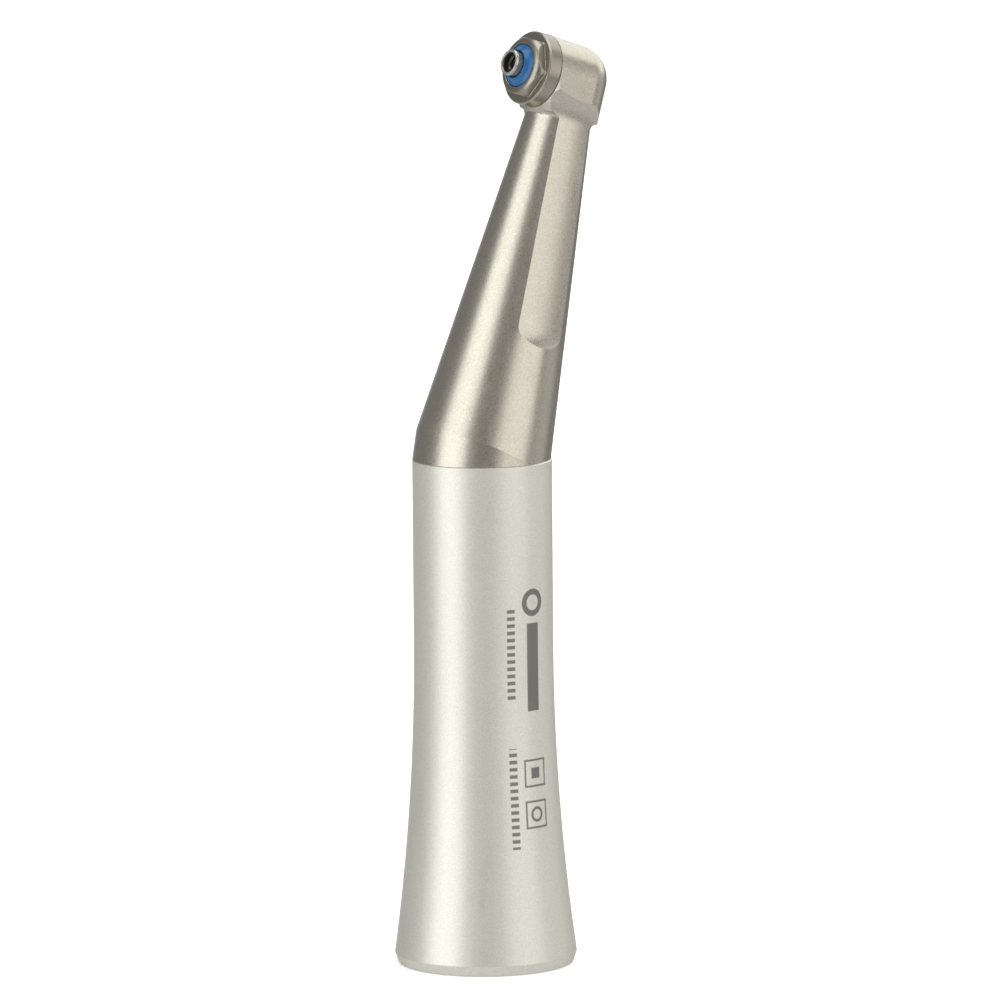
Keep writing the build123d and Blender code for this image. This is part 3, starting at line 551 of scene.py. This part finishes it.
def turn_about_head(outline, segments, groove=None):
    """Points and faces of a (radius, depth) outline turned about the head's axis.

    groove gives how far a point moves outward at a depth and a share of the turn, for threads."""
    points = []
    rings = []
    for radius, depth in outline:
        ring = []
        for k in range(segments if radius else 1):
            angle = tau * k / segments
            reach = radius + (groove(radius, depth, k / segments) if groove else 0)
            across = NECK_AXIS * cos(angle) + SIDE * sin(angle)
            ring.append(len(points))
            points.append(HEAD_CENTRE + WORKING_AXIS * depth + across * reach)
        rings.append(ring)
    closed = outline[0][0] > 0
    return points, turned_faces(rings, segments, closed)


def arc(centre, radius, start, end, steps):
    """Points of an arc in an outline, angles in degrees from the radius direction."""
    turn = [radians(start + (end - start) * k / steps) for k in range(steps + 1)]
    return [(centre[0] + radius * cos(a), centre[1] + radius * sin(a)) for a in turn]


THREAD_RADIUS = 0.78
THREAD_DEPTH = 0.13
THREAD_PITCH = 0.353
THREAD_TOP = 7.50
THREAD_BOTTOM = 3.60
THREAD_FADE = 0.12
THREAD_FLANK = 1.25
THREAD_STEPS = 90

# radii and depths of the chuck in millimetres, from its tail to its tip
CHUCK_SEGMENTS = 96
TAIL_RADIUS = 0.75
TAIL_END = -3.20
TAIL_FRONT = -2.10
SHAFT_RADIUS = 0.85
COLLAR_RADIUS = 1.90
COLLAR_BACK = 2.85
COLLAR_FRONT = 3.10
JOURNAL_RADIUS = 1.5875
JOURNAL_FRONT = 5.48
TUBE_RADIUS = 1.41
TUBE_BACK = 5.58
TUBE_TIP = 8.42
MOUTH_RADIUS = 1.05
MOUTH_FLOOR = 7.64
TOOL_HOLE_FLOOR = 3.20


def thread_groove(radius, depth, turn):
    """How deep the internal thread is cut at a depth and a share of the turn."""
    if radius != THREAD_RADIUS:
        return 0
    phase = (depth / THREAD_PITCH + turn) % 1
    fade = min(1, (THREAD_TOP - depth) / THREAD_FADE, (depth - THREAD_BOTTOM) / THREAD_FADE)
    return THREAD_DEPTH * max(0, 1 - abs(2 * phase - 1) * THREAD_FLANK) * max(0, fade)


def add_chuck_tube():
    """Rotating chuck: journals, rounded lip, stepped mouth and a real internal thread."""
    thread_step = (THREAD_BOTTOM - THREAD_TOP) / THREAD_STEPS
    thread = [(THREAD_RADIUS, THREAD_TOP + thread_step * k) for k in range(THREAD_STEPS + 1)]
    outline = [
        (0, TAIL_END), (0.65, TAIL_END), (TAIL_RADIUS, -3.10), (TAIL_RADIUS, TAIL_FRONT),
        (SHAFT_RADIUS, TAIL_FRONT), (SHAFT_RADIUS, COLLAR_BACK),
        (COLLAR_RADIUS, COLLAR_BACK), (COLLAR_RADIUS, COLLAR_FRONT),
        (JOURNAL_RADIUS, COLLAR_FRONT), (JOURNAL_RADIUS, JOURNAL_FRONT),
        (TUBE_RADIUS, TUBE_BACK), (TUBE_RADIUS, 8.02),
        *arc((1.39, 8.12), 0.06, -60, 60, 4),
        (TUBE_RADIUS, 8.24),
        *arc((1.31, 8.32), 0.10, 0, 90, 4),
        (1.22, TUBE_TIP),
        *arc((1.22, 8.34), 0.08, 90, 150, 3),
        (1.06, 8.22), (MOUTH_RADIUS, 8.16), (MOUTH_RADIUS, MOUTH_FLOOR), (0.92, MOUTH_FLOOR),
        *thread,
        (0, TOOL_HOLE_FLOOR),
    ]
    points, faces = turn_about_head(outline, CHUCK_SEGMENTS, thread_groove)
    make_piece("chuck_tube", points, faces, "chuck_steel", "rotor", "chuck_spindle")


SEAL_SEGMENTS = 128
SEAL_BORE = 1.50
SEAL_RADIUS = 2.38
SEAL_BACK = 5.70


def add_lip_seal():
    """Blue seal: a cone with soft edges that rises to a thin lip around the chuck."""
    outline = [
        (SEAL_BORE, SEAL_BACK), (SEAL_RADIUS, SEAL_BACK), (SEAL_RADIUS, 6.80),
        *arc((2.28, 6.80), 0.10, 0, 62, 4),
        (2.12, 6.98), (1.86, 7.22),
        *arc((1.62, 7.36), 0.12, 42, 130, 6),
        (SEAL_BORE, 7.38),
    ]
    points, faces = turn_about_head(outline, SEAL_SEGMENTS)
    make_piece("lip_seal", points, faces, "seal_blue", "housing", "front_seal")


SPRING_LOW = 19.72
SPRING_HIGH = 25.48
SPRING_RADIUS = 1.75
SPRING_WIRE = 0.20
SPRING_STEPS = 280
SPRING_SIDES = 12
CLOSED_TURNS = 1.0
OPEN_TURNS = 5.0
CLOSED_PITCH = 2 * SPRING_WIRE + 0.02


def add_coil_spring():
    """Spring behind the drive dog: open coils between closed end coils, its wire ends capped."""
    closed_height = CLOSED_TURNS * CLOSED_PITCH
    open_height = SPRING_HIGH - SPRING_LOW - 2 * closed_height
    turns = 2 * CLOSED_TURNS + OPEN_TURNS
    points = []
    rings = []
    for step in range(SPRING_STEPS + 1):
        turn = turns * step / SPRING_STEPS
        height = SPRING_LOW + min(turn, CLOSED_TURNS) * CLOSED_PITCH
        height += min(max(turn - CLOSED_TURNS, 0), OPEN_TURNS) * open_height / OPEN_TURNS
        height += max(turn - CLOSED_TURNS - OPEN_TURNS, 0) * CLOSED_PITCH
        outward = Vector((cos(tau * turn), sin(tau * turn), 0))
        centre = outward * SPRING_RADIUS + UP * height
        ring = []
        for k in range(SPRING_SIDES):
            angle = tau * k / SPRING_SIDES
            ring.append(len(points))
            points.append(centre + outward * SPRING_WIRE * cos(angle) + UP * SPRING_WIRE * sin(angle))
        rings.append(ring)
    faces = turned_faces(rings, SPRING_SIDES, closed=False)
    faces.append(tuple(rings[0]))
    faces.append(tuple(reversed(rings[-1])))
    spring = make_piece("coil_spring", points, faces, "spring_steel", "input", "dog_spring")
    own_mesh(spring)


add_camera()
add_world()
add_lights()
add_floor()
finishes = make_materials()
paint_frame(finishes)
add_chuck_tube()
add_lip_seal()
add_coil_spring()

view = bpy.context.scene.view_settings
view.view_transform = "Standard"
view.look = "None"
